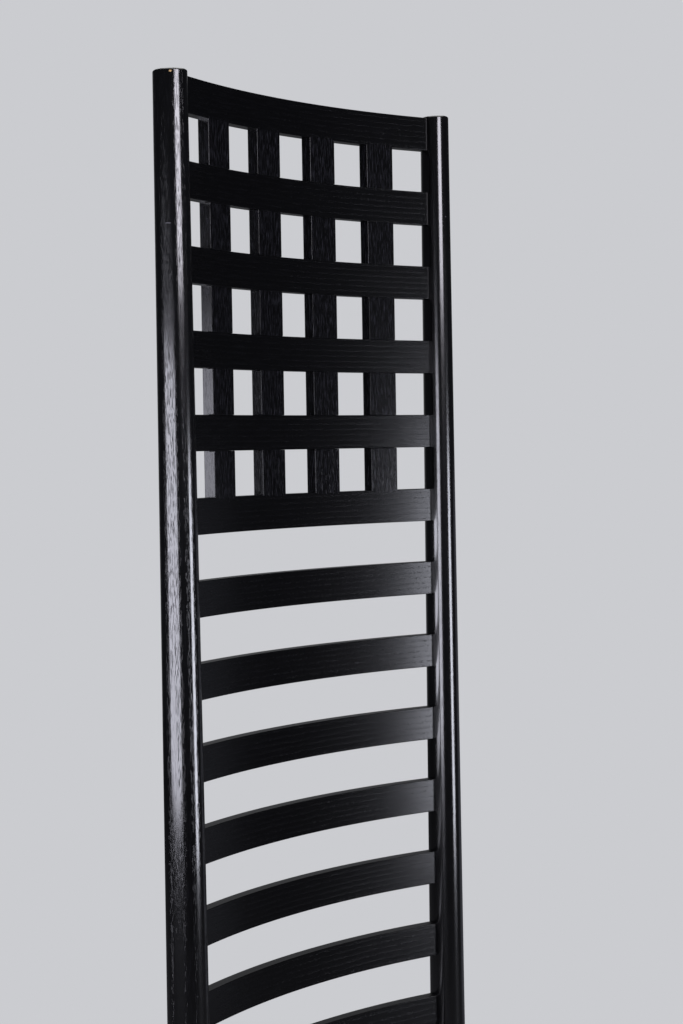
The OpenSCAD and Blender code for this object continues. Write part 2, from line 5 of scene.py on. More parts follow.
import bmesh
import bpy
import numpy as np
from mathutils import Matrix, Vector


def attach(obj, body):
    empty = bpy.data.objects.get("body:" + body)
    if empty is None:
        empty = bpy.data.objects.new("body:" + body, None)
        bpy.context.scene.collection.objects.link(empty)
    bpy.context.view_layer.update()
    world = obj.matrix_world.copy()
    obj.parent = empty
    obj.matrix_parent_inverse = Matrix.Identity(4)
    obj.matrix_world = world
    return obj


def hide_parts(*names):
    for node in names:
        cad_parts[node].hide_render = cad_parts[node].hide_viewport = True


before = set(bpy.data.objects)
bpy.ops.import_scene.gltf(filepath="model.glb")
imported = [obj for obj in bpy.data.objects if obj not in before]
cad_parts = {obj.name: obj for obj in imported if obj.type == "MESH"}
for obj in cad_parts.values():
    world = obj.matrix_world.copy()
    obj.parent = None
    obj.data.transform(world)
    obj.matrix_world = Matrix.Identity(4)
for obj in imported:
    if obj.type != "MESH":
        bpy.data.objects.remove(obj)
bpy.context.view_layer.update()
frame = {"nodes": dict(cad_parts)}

nodes, scene = frame["nodes"], bpy.context.scene

# The back's own sizes, in metres, as the joinery has them
back = {
    "footY": 0.133835,  # where the posts' centre line meets the floor
    "lean": radians(1.28),
    "postX": 0.1565,
    "postLength": 1.410,
    "postFoot": 0.0390,  # long axis of the oval at the floor
    "postTop": 0.0272,
    "postFlat": 0.84,
    "bowRadius": 0.520,
    "bowY": -0.500292,  # centre of the slats' curve in the leaning frame
    "slatHeight": 0.028,
    "slatThick": 0.010,
    "slatHouse": 0.010,
    "latticePitch": 0.064,
    "ladderPitch": 0.0634,
    "topRailZ": 1.3805,
    "ladderTopZ": 0.9971,
    "lowerTopZ": 0.3066,
    "uprightWidth": 0.028,
    "openings": 5,
    "ladderSlats": 9,
    "lowerSlats": 5,
}
bow, lean = back["bowRadius"], back["lean"]
bowOuter, bowMiddle = bow + back["slatThick"], bow + back["slatThick"] / 2
postTurn = asin(back["postX"] / bow)  # the ovals stand square to the slats' ends


def linearColour(hexValue):
    parts = [int(hexValue[i:i + 2], 16) / 255 for i in (1, 3, 5)]
    return tuple(c / 12.92 if c <= 0.04045 else ((c + 0.055) / 1.055) ** 2.4 for c in parts) + (1.0,)


def addNode(tree, kind, links=(), **settings):  # links and values go by the sockets' names, or by their order
    kind, *operation = kind.split()  # a kind can have its operation after it, as in "Math ADD"
    starts = ("ShaderNode", "GeometryNode", "FunctionNode", "")
    node = tree.nodes.new(next(start + kind for start in starts if hasattr(bpy.types, start + kind)))
    if operation:
        node.operation = operation[0]
    for name, value in settings.items():
        setattr(node, name, value)
    for socket, value in links.items() if isinstance(links, dict) else enumerate(links):
        if isinstance(value, bpy.types.Node):
            value = next(output for output in value.outputs if output.enabled)
        if isinstance(value, bpy.types.NodeSocket):
            tree.links.new(value, node.inputs[socket])
        else:
            node.inputs[socket].default_value = linearColour(value) if str(value).startswith("#") else value
    return node


def startMaterial(name):
    material = bpy.data.materials.new(name)
    material.use_nodes = True
    material.node_tree.nodes.clear()
    return material, partial(addNode, material.node_tree)


# Black-stained ash under a semi-gloss lacquer, planed and sprayed. The stain is nearly black, and the open
# pores of the early wood stay as short dark dashes in a highlight. The pale flecks beside it, on pores and
# along
# the grain, are painted glints: a paler base colour standing in for light caught on their edges.
ashLook = {
    "stain": "#050506",
    # a paler colour painted on pores and grain streaks as glints of light
    "stainPale": "#202024",
    "poreLength": 0.0085,
    "poreWidth": 0.00042,  # real pores are 0.3 mm wide, drawn coarser so that they show
    "poreShare": (0.54, 0.66),  # where the noise turns from lacquer to pore
    # how much of the painted glint colour the pores get
    "poreDepth": 0.00004,
    "poreGloss": 0.2,  # what is left of the lacquer's shine in a pore
    "poreGlint": 0.3,
    "waveLength": 0.020,
    "waveWidth": 0.0024,
    "waveDepth": 0.000018,
    "ringWidth": 0.0045,
    "earlyWood": (0.05, 0.6),  # the part of each ring that fades from open pores to few
    "lateWood": 0.25,
    "pithOffset": 0.065,
    "wobbleLength": 0.16,
    "wobbleWidth": 0.02,
    "wobble": 0.012,
    "streakLength": 0.020,
    "streakWidth": 0.0011,
    "streakShare": (0.5, 0.7),  # and from black to a pale streak
    "streaks": 0.25,
    "baseRoughness": 0.36,
    "baseShine": 0.05,
    "coatWeight": 1.0,
    "coatRoughness": 0.12,
    "coatIor": 1.9,
}
knock = {"raggedScale": 900.0, "ragged": 0.9, "solid": 1.25, "gone": 1.5}  # a knock's ragged edge


def ashMaterial(name, marks=(), **changes):
    look = {**ashLook, **changes}
    material, add = startMaterial(name)
    place = add("Attribute", attribute_name="grain").outputs["Vector"]

    def stretched(part, detail, shift=0.0):  # noise drawn out along the grain
        along, wide = look[part + "Length"], look[part + "Width"]
        scaled = add("VectorMath MULTIPLY", (place, (1 / along, 1 / wide, 1 / wide)))
        moved = add("VectorMath ADD", (scaled, (shift, 0, 0)))
        return add("TexNoise", {"Vector": moved, "Scale": 1.0, "Detail": detail, "Roughness": 0.55})

    # Growth rings round a pith that lies outside the board
    wobble = add("Math SUBTRACT", (stretched("wobble", 2.0), 0.5))
    apart = add("SeparateXYZ", (place,)).outputs
    ringY = add("Math ADD", (apart["Y"], look["pithOffset"]))
    ringZ = add("Math MULTIPLY_ADD", (wobble, look["wobble"], apart["Z"]))
    radius = add("VectorMath LENGTH", (add("CombineXYZ", (ringY, ringZ)),))
    ring = add("Math FRACT", (add("Math DIVIDE", (radius, look["ringWidth"])),))
    smooth = {"interpolation_type": "SMOOTHSTEP"}
    early = add("MapRange", (ring, *look["earlyWood"], 1.0, look["lateWood"]), **smooth)
    pores = add("MapRange", (stretched("pore", 1.0), *look["poreShare"]), **smooth)
    poreMask = add("Math MULTIPLY", (pores, early), use_clamp=True)

    # The lacquer follows the wood in long low waves, and sinks a little into the pores
    wave = stretched("wave", 2.0, 7.3)
    wavy = add("Bump", {"Strength": 1.0, "Distance": look["waveDepth"], "Height": wave})
    sunk = add("Math SUBTRACT", (1.0, poreMask))
    bump = add("Bump", {"Strength": 1.0, "Distance": look["poreDepth"], "Height": sunk, "Normal": wavy})
    shine = add("MapRange", {"Value": sunk, "To Min": look["poreGloss"], "To Max": 1.0})
    coat = add("Math MULTIPLY", (shine, look["coatWeight"]))

    # Painted highlight: pale streaks along the grain and pale pores lighten the base colour, standing in for
    # glints off pore edges
    drawn = stretched("streak", 2.0, 3.1)
    streak = add("MapRange", (drawn, *look["streakShare"], 0.0, look["streaks"]), **smooth)
    pale = add("Math MULTIPLY_ADD", (poreMask, look["poreGlint"], streak), use_clamp=True)
    colour = add("Mix", {"Factor": pale, "A": look["stain"], "B": look["stainPale"]}, data_type="RGBA")

    # Small knocks: a chip down to the bare wood, or a pale scratch
    if marks:
        here = add("TexCoord").outputs["Object"]
        ragged = add("TexNoise", {"Vector": here, "Scale": knock["raggedScale"], "Detail": 2.0})
    for centre, reach, hexValue in marks:
        off = add("VectorMath SUBTRACT", (here, centre))
        shaped = add("VectorMath MULTIPLY", (off, tuple(1 / r for r in reach)))
        size = add("VectorMath LENGTH", (shaped,))
        edge = add("Math MULTIPLY_ADD", (ragged, knock["ragged"], size))
        mask = add("MapRange", (edge, knock["solid"], knock["gone"], 1.0, 0.0))
        colour = add("Mix", {"Factor": mask, "A": colour, "B": hexValue}, data_type="RGBA")
    shader = add("BsdfPrincipled", {
        "Base Color": colour, "Roughness": look["baseRoughness"], "IOR": 1.5,
        "Specular IOR Level": look["baseShine"], "Normal": bump, "Coat Weight": coat,
        "Coat Roughness": look["coatRoughness"], "Coat IOR": look["coatIor"], "Coat Normal": bump})
    add("OutputMaterial", (shader,))
    return material


# Planed beech, left bare: warm and even, with short brown flecks
beechLook = {"light": "#d6b488", "dark": "#b98f5f", "bandsPerMetre": (6, 190, 190),
             "fleck": "#9a6f43", "fleckLength": 0.003, "fleckWidth": 0.0005, "fleckShare": (0.62, 0.7)}


def beechMaterial(name, turned):
    look = beechLook
    material, add = startMaterial(name)
    here = add("TexCoord").outputs["Object"]
    turn = add("Mapping", {"Vector": here, "Rotation": (0, 0, turned)})
    bands = add("VectorMath MULTIPLY", (turn, look["bandsPerMetre"]))
    grain = add("TexNoise", {"Vector": bands, "Scale": 1.0, "Detail": 3.0})
    perMetre = (1 / look["fleckLength"], 1 / look["fleckWidth"], 1 / look["fleckWidth"])
    small = add("VectorMath MULTIPLY", (turn, perMetre))
    spots = add("TexNoise", {"Vector": small, "Scale": 1.0, "Detail": 0.0})
    flecks = add("MapRange", (spots, *look["fleckShare"]))
    wood = add("Mix", {"Factor": grain, "A": look["light"], "B": look["dark"]}, data_type="RGBA")
    colour = add("Mix", {"Factor": flecks, "A": wood, "B": look["fleck"]}, data_type="RGBA")
    bump = add("Bump", {"Strength": 0.25, "Distance": 0.0002, "Height": grain})
    add("OutputMaterial", (add("BsdfPrincipled", {
        "Base Color": colour, "Roughness": 0.55, "IOR": 1.5, "Normal": bump}),))
    return material


def steelMaterial(name):  # zinc-plated steel: bright, with a faint mottle about 1.5 mm across
    material, add = startMaterial(name)
    here = add("TexCoord").outputs["Object"]
    mottle = add("TexNoise", {"Vector": here, "Scale": 700.0, "Detail": 3.0})
    colour = add("Mix", {"Factor": mottle, "A": "#9c9fa3", "B": "#c9ccd0"}, data_type="RGBA")
    rough = add("MapRange", {"Value": mottle, "To Min": 0.28, "To Max": 0.42})
    add("OutputMaterial", (add("BsdfPrincipled", {
        "Base Color": colour, "Metallic": 1.0, "Roughness": rough}),))
    return material


def nylonMaterial(name):  # moulded nylon: dull, with fine grit from the mould of 0.4 mm and faint wear
    material, add = startMaterial(name)
    here = add("TexCoord").outputs["Object"]
    grit = add("TexNoise", {"Vector": here, "Scale": 2500.0, "Detail": 1.0})
    wear = add("TexNoise", {"Vector": here, "Scale": 160.0, "Detail": 3.0})
    colour = add("Mix", {"Factor": wear, "A": "#26251f", "B": "#3a3831"}, data_type="RGBA")
    bump = add("Bump", {"Strength": 0.3, "Distance": 0.0001, "Height": grit})
    add("OutputMaterial", (add("BsdfPrincipled", {
        "Base Color": colour, "Roughness": 0.5, "IOR": 1.53, "Normal": bump}),))
    return material


# Plain-woven cloth, on the piece's own "weave" attribute in metres: round threads go over and under each
# other, the gaps between them are darkened as painted shade, and paler slubs run along them
clothLook = {
    "thread": 0.0016, "warp": "#4a474d", "warpPale": "#6a676d", "weft": "#424046", "weftPale": "#626066",
    "slubsAlong": 90, "slubsAcross": 420, "gap": 0.45, "relief": 0.8, "roughness": 0.85, "sheen": 0.25}


def wovenMaterial(name, **changes):
    look = {**clothLook, **changes}
    material, add = startMaterial(name)
    place = add("Attribute", attribute_name="weave").outputs["Vector"]
    count = add("VectorMath MULTIPLY", (place, (1 / look["thread"],) * 3))
    apart = add("SeparateXYZ", (count,)).outputs
    backs, steps = [], []
    for axis in "XY":  # a thread's round back, and its number
        turned = add("Math MULTIPLY_ADD", (apart[axis], pi, 0.0))
        backs.append(add("Math ABSOLUTE", (add("Math SINE", (turned,)),)))
        steps.append(add("Math FLOOR", (apart[axis],)))
    over = add("Math FLOORED_MODULO", (add("Math ADD", steps), 2.0))
    high, slubs = [], []
    along, across = look["slubsAlong"], look["slubsAcross"]
    for mine, other, perMetre in (backs + [(along, across, along)], backs[::-1] + [(across, along, along)]):
        part = add("Math MULTIPLY_ADD", (other, 0.5, 0.5))
        high.append(add("Math MULTIPLY", (mine, part)))
        scaled = add("VectorMath MULTIPLY", (place, perMetre))
        slubs.append(add("TexNoise", {"Vector": scaled, "Scale": 1.0, "Detail": 3.0}))
    height = add("Mix", {"Factor": over, "A": high[0], "B": high[1]})
    yarn = add("Mix", {"Factor": over, "A": slubs[0], "B": slubs[1]})
    tints = [add("Mix", {"Factor": yarn, "A": look[way], "B": look[way + "Pale"]}, data_type="RGBA")
             for way in ("warp", "weft")]
    cloth = add("Mix", {"Factor": over, "A": tints[0], "B": tints[1]}, data_type="RGBA")
    # painted shade: the colour darkens where a thread's surface sinks towards the gaps between threads
    gap = add("MapRange", (height, 0.05, 0.6, look["gap"], 1.0))
    shade = add("VectorMath SCALE", {0: cloth, "Scale": gap})
    bump = add("Bump", {"Strength": look["relief"], "Distance": look["thread"] * 0.4, "Height": height})
    shader = add("BsdfPrincipled", {
        "Base Color": shade, "Roughness": look["roughness"], "IOR": 1.5, "Specular IOR Level": 0.3,
        "Sheen Weight": look["sheen"], "Sheen Roughness": 0.5, "Normal": bump})
    add("OutputMaterial", (shader,))
    return material


def meshPiece(name, verts, faces, material=None):
    mesh = bpy.data.meshes.new(name)
    mesh.from_pydata([tuple(v) for v in verts], [], faces)
    mesh.update()
    piece = bpy.data.objects.new(name, mesh)
    scene.collection.objects.link(piece)
    if material:
        mesh.materials.append(material)
    return piece


def settle(piece):  # the evaluated mesh, with its modifiers worked in, becomes the piece's own
    graph = bpy.context.evaluated_depsgraph_get()
    made = bpy.data.meshes.new_from_object(
        piece.evaluated_get(graph), preserve_all_data_layers=True, depsgraph=graph)
    old = piece.data
    piece.modifiers.clear()
    piece.data = made
    if old.users == 0:
        bpy.data.meshes.remove(old)
    return piece


def smoothFaces(piece):
    for face in piece.data.polygons:
        face.use_smooth = True


def easeEdges(piece, width, segments=2):  # rounds edges sharper than 40 degrees
    smoothFaces(piece)
    bevel = piece.modifiers.new("eased", "BEVEL")
    bevel.width, bevel.segments = width, segments
    bevel.limit_method, bevel.angle_limit = "ANGLE", radians(40)
    bevel.harden_normals = bevel.use_clamp_overlap = True
    bevel.miter_outer = "MITER_ARC"
    return settle(piece)


def outward(piece):
    bm = bmesh.new()
    bm.from_mesh(piece.data)
    bmesh.ops.recalc_face_normals(bm, faces=bm.faces)
    bm.to_mesh(piece.data)
    bm.free()
    return piece


def tubeFaces(n, rings):  # two caps, and the faces between rings of n points
    caps = [tuple(range(n - 1, -1, -1)), tuple(range((rings - 1) * n, rings * n))]
    pairs = [(r * n + k, r * n + (k + 1) % n) for r in range(rings - 1) for k in range(n)]
    return caps + [(a, b, b + n, a + n) for a, b in pairs]


def storeGrain(piece, places, name="grain"):
    kept = piece.data.attributes.get(name) or piece.data.attributes.new(name, "FLOAT_VECTOR", "POINT")
    kept.data.foreach_set("vector", np.asarray(places, np.float32).ravel())


def pointsOf(piece):
    flat = np.zeros(len(piece.data.vertices) * 3, np.float32)
    piece.data.vertices.foreach_get("co", flat)
    return flat.reshape(-1, 3)


def carried(piece, *replaced, body="frame", slot="stained_ash"):
    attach(piece, body)
    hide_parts(*replaced)


def newTree(name, values, fromPoints=False):  # a geometry tree, its named inputs, and what adds its nodes
    tree = bpy.data.node_groups.new(name, "GeometryNodeTree")

    def socket(label, kind, way="INPUT"):
        return tree.interface.new_socket(label, in_out=way, socket_type="NodeSocket" + kind).identifier

    if fromPoints:
        socket("Geometry", "Geometry")
    socket("Geometry", "Geometry", "OUTPUT")
    kinds = {int: "Int", float: "Float", bpy.types.Material: "Material"}
    sockets = {label: socket(label, kinds[type(value)]) for label, value in values.items()}
    return tree, sockets, partial(addNode, tree)


def runTree(piece, tree, sockets, values):
    laying = piece.modifiers.new("laying", "NODES")
    laying.node_group = tree
    for label, value in values.items():
        laying[sockets[label]] = value
    return settle(piece)


def leaning(x, y, z):  # from the back's leaning frame to the chair's
    c, s = cos(lean), sin(lean)
    return (x, back["footY"] + y * c + z * s, z * c - y * s)


def onBow(bearing, radius, z):  # a point on the slats' curve
    return leaning(radius * sin(bearing), back["bowY"] + radius * cos(bearing), z)


def postAxes(z):
    major = (back["postFoot"] + (back["postTop"] - back["postFoot"]) * z / back["postLength"]) / 2
    return major, back["postFlat"] * major


def slatEnd(z):
    return postTurn - (postAxes(z)[1] - back["slatHouse"]) / bow


dice = random.Random(11)

ashPost = ashMaterial("ashBlackStainedTurned", marks=(
    ((-0.16440, 0.15635, 1.40720), (0.0010, 0.0013, 0.0008), "#c4a474"),
    ((-0.16690, 0.15690, 1.29469), (0.0020, 0.0024, 0.0004), "#6a6a70")))
ashPostFilled = ashMaterial(  # the right post's grain is nearly full of lacquer
    "ashBlackStainedTurnedFilled", poreGloss=0.75, poreDepth=0.000012, waveDepth=0.000006, coatRoughness=0.15,
    marks=(((0.15316, 0.14984, 1.32296), (0.0006, 0.0006, 0.0006), "#55555a"),))
ashRail = ashMaterial(
    "ashBlackStainedPlaned", streaks=0.15, poreLength=0.0015, poreWidth=0.0004, poreDepth=0.000025,
    poreGloss=0.65, waveDepth=0.00003, coatWeight=0.40, coatRoughness=0.2)
# the uprights' many pale streaks are painted glints, as on the other ash
ashUpright = ashMaterial(
    "ashBlackStainedOpenGrain", stainPale="#2c2c32", poreLength=0.007, poreWidth=0.0007, streakLength=0.010,
    streakWidth=0.0008, streaks=0.9, waveDepth=0.00003, coatWeight=0.42, coatRoughness=0.17)
beechAcross = beechMaterial("beechPlanedAcross", 0.0)
beechAlong = beechMaterial("beechPlanedAlong", pi / 2)
zincSteel = steelMaterial("steelZincPlated")
mouldedNylon = nylonMaterial("nylonMoulded")
print("materials made")


postShape = {"sides": 112, "rings": 16, "topRound": 0.0016, "roundSteps": 5, "cutZ": 0.004, "grainIn": 0.011}


def backPost(name, side, wood):
    n, rings, steps = postShape["sides"], postShape["rings"], postShape["roundSteps"]
    length, roundR = back["postLength"], postShape["topRound"]
    levels = [((length - roundR) * i / rings, 0.0) for i in range(rings + 1)]
    for i in range(1, steps + 1):
        a = pi / 2 * i / steps
        levels.append((length - roundR + roundR * sin(a), roundR * (1 - cos(a))))
    offset = dice.uniform(0, 3)
    c, s = cos(-side * postTurn), sin(-side * postTurn)
    verts, places = [], []
    for z, inset in levels:
        for k in range(n):
            a = 2 * pi * k / n
            height = z
            if z == 0:  # the foot is cut level with the floor
                for _ in range(4):  # each round comes closer
                    major, minor = postAxes(height)
                    y = minor * cos(a) * s + major * sin(a) * c
                    height = (postShape["cutZ"] + y * sin(lean)) / cos(lean)
            major, minor = postAxes(height)
            px, py = (minor - inset) * cos(a), (major - inset) * sin(a)
            verts.append(leaning(side * back["postX"] + (px * c - py * s), px * s + py * c, height))
            places.append((height + offset, px + postShape["grainIn"], py))
    piece = meshPiece(name, verts, tubeFaces(n, len(levels)), wood)
    storeGrain(piece, places)
    for face in piece.data.polygons:
        face.use_smooth = len(face.vertices) == 4
    return piece


for side, word, wood in ((-1, "left", ashPost), (1, "right", ashPostFilled)):
    carried(backPost(f"{word}PostTurned", side, wood), f"{word}_back_post")
print("posts made")


# The uprights are halved across the rails, and go a little way into the top and base rails
latticeShape = {"edge": 0.0005, "arcSteps": 72, "uprightSteps": 6, "fit": 0.00005, "intoRail": 0.002,
                "leastStep": 0.001}
latticeZ = [back["topRailZ"] - i * back["latticePitch"] for i in range(back["openings"] + 1)]
uprightTurns = [(i - back["openings"] / 2) * back["latticePitch"] / bow for i in range(1, back["openings"])]
halfUpright = back["uprightWidth"] / 2 / bow


def latticeRail(name, z, notched):
    half, slack = slatEnd(z), latticeShape["fit"] / bow
    cuts = [(t - halfUpright - slack, t + halfUpright + slack) for t in uprightTurns] if notched else []
    edges = [e for c in cuts for e in c]
    arc = np.linspace(-half, half, latticeShape["arcSteps"])
    bearings = sorted([b for b in arc if all(abs(b - e) > latticeShape["leastStep"] for e in edges)] + edges)
    plan = [(b, bow) for b in bearings]
    for b in reversed(bearings):
        if b in edges:  # coming from the right, the notch's right edge is met first
            starts = b in [c[1] for c in cuts]
            plan += [(b, bowOuter), (b, bowMiddle)] if starts else [(b, bowMiddle), (b, bowOuter)]
        else:
            plan.append((b, bowMiddle if any(c[0] < b < c[1] for c in cuts) else bowOuter))
    verts = [onBow(b, r, level) for level in (z, z + back["slatHeight"]) for b, r in plan]
    return outward(meshPiece(name, verts, tubeFaces(len(plan), 2), ashRail))


def latticeUpright(name, turn):
    fit, h, steps = latticeShape["fit"], back["slatHeight"], latticeShape["uprightSteps"]
    low, high = latticeZ[-1] + h - latticeShape["intoRail"], latticeZ[0] + latticeShape["intoRail"]
    section = [(bow, low)]
    for z in sorted(latticeZ[1:-1]):
        section += [(bow, z - fit), (bowMiddle, z - fit), (bowMiddle, z + h + fit), (bow, z + h + fit)]
    section += [(bow, high), (bowOuter, high), (bowOuter, low)]
    bearings = [turn - halfUpright + 2 * halfUpright * j / steps for j in range(steps + 1)]
    verts = [onBow(b, r, z) for b in bearings for r, z in section]
    return outward(meshPiece(name, verts, tubeFaces(len(section), steps + 1), ashUpright))


def bentGrain(piece, upright):  # from where each point lies on the curve, in the leaning frame
    x, y, z = pointsOf(piece).T
    y = y - back["footY"]
    c, s = cos(lean), sin(lean)
    y, z = y * c - z * s - back["bowY"], y * s + z * c
    sweep, through = np.arctan2(x, y) * bow, np.hypot(x, y) - bow
    offset = dice.uniform(0, 3)
    along, across = (z, sweep) if upright else (sweep, z)
    storeGrain(piece, np.stack([along + offset, across + 0.4 * offset, through], 1))


endRails = {0: ("topRailCurved", "top_rail"),
            len(latticeZ) - 1: ("latticeBaseRailCurved", "lattice_base_rail")}
for i, z in enumerate(latticeZ):
    name, node = endRails.get(i, (f"latticeRail{i}", f"lattice_rail_{i}"))
    rail = easeEdges(latticeRail(name, z, i not in endRails), latticeShape["edge"])
    bentGrain(rail, False)
    carried(rail, node)
for i, turn in enumerate(uprightTurns, 1):
    upright = easeEdges(latticeUpright(f"latticeUpright{i}", turn), latticeShape["edge"])
    bentGrain(upright, True)
    carried(upright, f"lattice_upright_{i}")
print("lattice made")


# One tree lays curved boards at an even pitch down the back, each as long as the tapered posts let it be
slatShape = {"edge": 0.0005, "steps": 72, "seed": 5}
slatValues = {
    "Count": back["ladderSlats"], "First Height": back["ladderTopZ"], "Pitch": back["ladderPitch"],
    "Bow Radius": bow, "Bow Y": back["bowY"], "Board Height": back["slatHeight"],
    "Board Thickness": back["slatThick"], "Half Angle At Floor": slatEnd(0.0),
    "Half Angle Per Metre": slatEnd(1.0) - slatEnd(0.0), "Lean": lean, "Foot Y": back["footY"],
    "Steps": slatShape["steps"], "Seed": slatShape["seed"], "Wood": ashRail}


def slatTree():
    tree, sockets, add = newTree("curvedSlats", slatValues)
    given = add("NodeGroupInput").outputs
    vector = {"data_type": "FLOAT_VECTOR"}
    # points at the slats' lower edges
    drop = add("CombineXYZ", {2: add("Math MULTIPLY", (given["Pitch"], -1.0))})
    start = add("CombineXYZ", {2: given["First Height"]})
    rows = add("MeshLine", {"Count": given["Count"], "Start Location": start, "Offset": drop},
               mode="OFFSET", count_mode="TOTAL")
    line = add("CurvePrimitiveLine", {"Start": (0, 0, 0), "End": (1, 0, 0)})
    fine = add("ResampleCurve", {"Curve": line, "Count": given["Steps"]})
    laid = add("InstanceOnPoints", {"Points": rows, "Instance": fine})
    board = add("RandomValue", {"Min": (0, 0, 0), "Max": (3, 1, 1), "Seed": given["Seed"]}, **vector)
    tagged = add("StoreNamedAttribute", {"Geometry": laid, "Name": "board", "Value": board},
                 domain="INSTANCE", **vector)
    real = add("RealizeInstances", (tagged,))
    # each line is bent to its arc: bearing = (2 t - 1) x half angle at that height
    here = add("SeparateXYZ", (add("InputPosition"),)).outputs
    centred = add("Math MULTIPLY_ADD", (add("SplineParameter"), 2.0, -1.0))
    half = add("Math MULTIPLY_ADD", (here["Z"], given["Half Angle Per Metre"], given["Half Angle At Floor"]))
    bearing = add("Math MULTIPLY", (centred, half))
    middle = add("Math MULTIPLY_ADD", (given["Board Thickness"], 0.5, given["Bow Radius"]))
    x = add("Math MULTIPLY", (add("Math SINE", (bearing,)), middle))
    ahead = add("Math COSINE", (bearing,))
    y = add("Math MULTIPLY_ADD", (ahead, middle, given["Bow Y"]))
    z = add("Math MULTIPLY_ADD", (given["Board Height"], 0.5, here["Z"]))
    arcs = add("SetPosition", {"Geometry": real, "Position": add("CombineXYZ", (x, y, z))})
    upright = add("SetCurveNormal", {"Curve": arcs}, mode="Z_UP")
    section = add("CurvePrimitiveQuadrilateral", {
        "Width": given["Board Thickness"], "Height": given["Board Height"]}, mode="RECTANGLE")
    boards = add("CurveToMesh", {"Curve": upright, "Profile Curve": section, "Fill Caps": True})
    # grain: along the arc, up the board, through it, each board shifted to its own piece of wood
    place = add("SeparateXYZ", (add("InputPosition"),)).outputs
    fromBow = add("Math SUBTRACT", (place["Y"], given["Bow Y"]))
    sweep = add("Math ARCTAN2", (place["X"], fromBow))
    along = add("Math MULTIPLY", (sweep, given["Bow Radius"]))
    out = add("VectorMath LENGTH", (add("CombineXYZ", (place["X"], fromBow)),))
    through = add("Math SUBTRACT", (out, given["Bow Radius"]))
    own = add("InputNamedAttribute", {"Name": "board"}, **vector)
    grain = add("VectorMath ADD", (add("CombineXYZ", (along, place["Z"], through)), own))
    kept = add("StoreNamedAttribute", {"Geometry": boards, "Name": "grain", "Value": grain},
               domain="POINT", **vector)
    tilt = add("CombineXYZ", (add("Math MULTIPLY", (given["Lean"], -1.0)),))
    foot = add("CombineXYZ", {1: given["Foot Y"]})
    stand = add("Transform", {"Geometry": kept, "Translation": foot, "Rotation": tilt})
    solid = add("RealizeInstances", (stand,))
    add("NodeGroupOutput", (add("SetMaterial", {"Geometry": solid, "Material": given["Wood"]}),))
    return tree, sockets


tree, sockets = slatTree()
for name, first, count, word in (
        ("ladderSlatsCurved", back["ladderTopZ"], back["ladderSlats"], "ladder_slat"),
        ("lowerSlatsCurved", back["lowerTopZ"], back["lowerSlats"], "lower_slat")):
    own = {"Count": count, "First Height": first, "Seed": slatShape["seed"] + count}
    slats = runTree(meshPiece(name, [], []), tree, sockets, {**slatValues, **own})
    easeEdges(outward(slats), slatShape["edge"])
    carried(slats, *[f"{word}_{i}" for i in range(1, count + 1)])
    print(name, len(slats.data.vertices), "points")


# The seat rails, legs and stretchers, in metres
base = {
    "width": 0.410,
    "frontY": -0.195,
    "railTop": 0.420,
    "railHeight": 0.050,
    "railThick": 0.022,
    "railSet": 0.0015,
    "railEnd": 0.005,  # the side rails end this far before the posts' centres
    "rearRailFront": 0.018,  # the rear rail's face before the posts' centres
    "rearRailIn": 0.0006,  # how far it runs into the side rails
    "rearRailEnd": 0.0065,
    "lip": 0.013,
    "rebate": 0.014,
    "frontCorner": 0.012,
    "rearCorner": 0.032,
    "legTop": 0.034,
    "legFoot": 0.027,
    "taperZ": 0.358,
    "footZ": 0.004,
    "rungHeight": 0.0275,
    "rungThick": 0.012,
    "rungEnd": 0.003,  # the side stretchers end this far before the leg's and the post's middle
    "rungIn": 0.004,
    "overlap": 0.0009,  # how far a rail runs into a leg, less than the leg's eased edge
    "edge": 0.0012,
}


def postY(z):
    return back["footY"] + z * tan(lean)


def legWidth(z):
    if z > base["taperZ"]:
        return base["legTop"]
    return base["legFoot"] + (base["legTop"] - base["legFoot"]) * z / base["taperZ"]


railLow, railHigh = base["railTop"] - base["railHeight"], base["railTop"]
railMid, halfRail = base["railTop"] - base["railHeight"] / 2, base["railThick"] / 2
frontX, frontY = base["width"] / 2, base["frontY"]
legY = frontY + base["legTop"] / 2
legInner = frontX - base["legTop"]
frontRailY = frontY + base["railSet"]
rearRailY = postY(railMid) - base["rearRailFront"]
sideX = frontX - base["railSet"] - halfRail
sideRearX = back["postX"] + postAxes(railMid)[1] - base["railSet"] - halfRail
sideTurn = atan((sideX - sideRearX) / (postY(railMid) - legY))
pocketFront, pocketRear = frontRailY + base["lip"], rearRailY + base["railThick"] - base["lip"]
pocketInside, pocketZ = base["lip"] - halfRail, base["railTop"] - base["rebate"]
padMidY = (pocketFront + pocketRear) / 2


def sideLine(y, inside=0.0):
    return sideX - (y - legY) * tan(sideTurn) - inside / cos(sideTurn)


def seatOutline(inset, steps=12, leastCorner=0.0005):  # the rebate's outline, set in
    def arc(endY, way, radius, start, stop):
        c = max(radius, inset + leastCorner)
        cy = endY + way * c
        cx = sideLine(cy, pocketInside + c)
        turns = [start + (stop - start) * i / steps for i in range(steps + 1)]
        return [(cx + (c - inset) * cos(a), cy + (c - inset) * sin(a)) for a in turns]

    half = [(0.0, pocketFront + inset)] + arc(pocketFront, 1, base["frontCorner"], -pi / 2, sideTurn)
    half += arc(pocketRear, -1, base["rearCorner"], sideTurn, pi / 2) + [(0.0, pocketRear - inset)]
    return half + [(-x, y) for x, y in reversed(half[1:-1])]


def prism(name, outline, low, high, material=None):
    verts = [(x, y, z) for z in (low, high) for x, y in outline]
    return outward(meshPiece(name, verts, tubeFaces(len(outline), 2), material))


pocketCutter = prism("pocketCutter", seatOutline(0.0), pocketZ, railHigh + 0.02)  # open above the rails


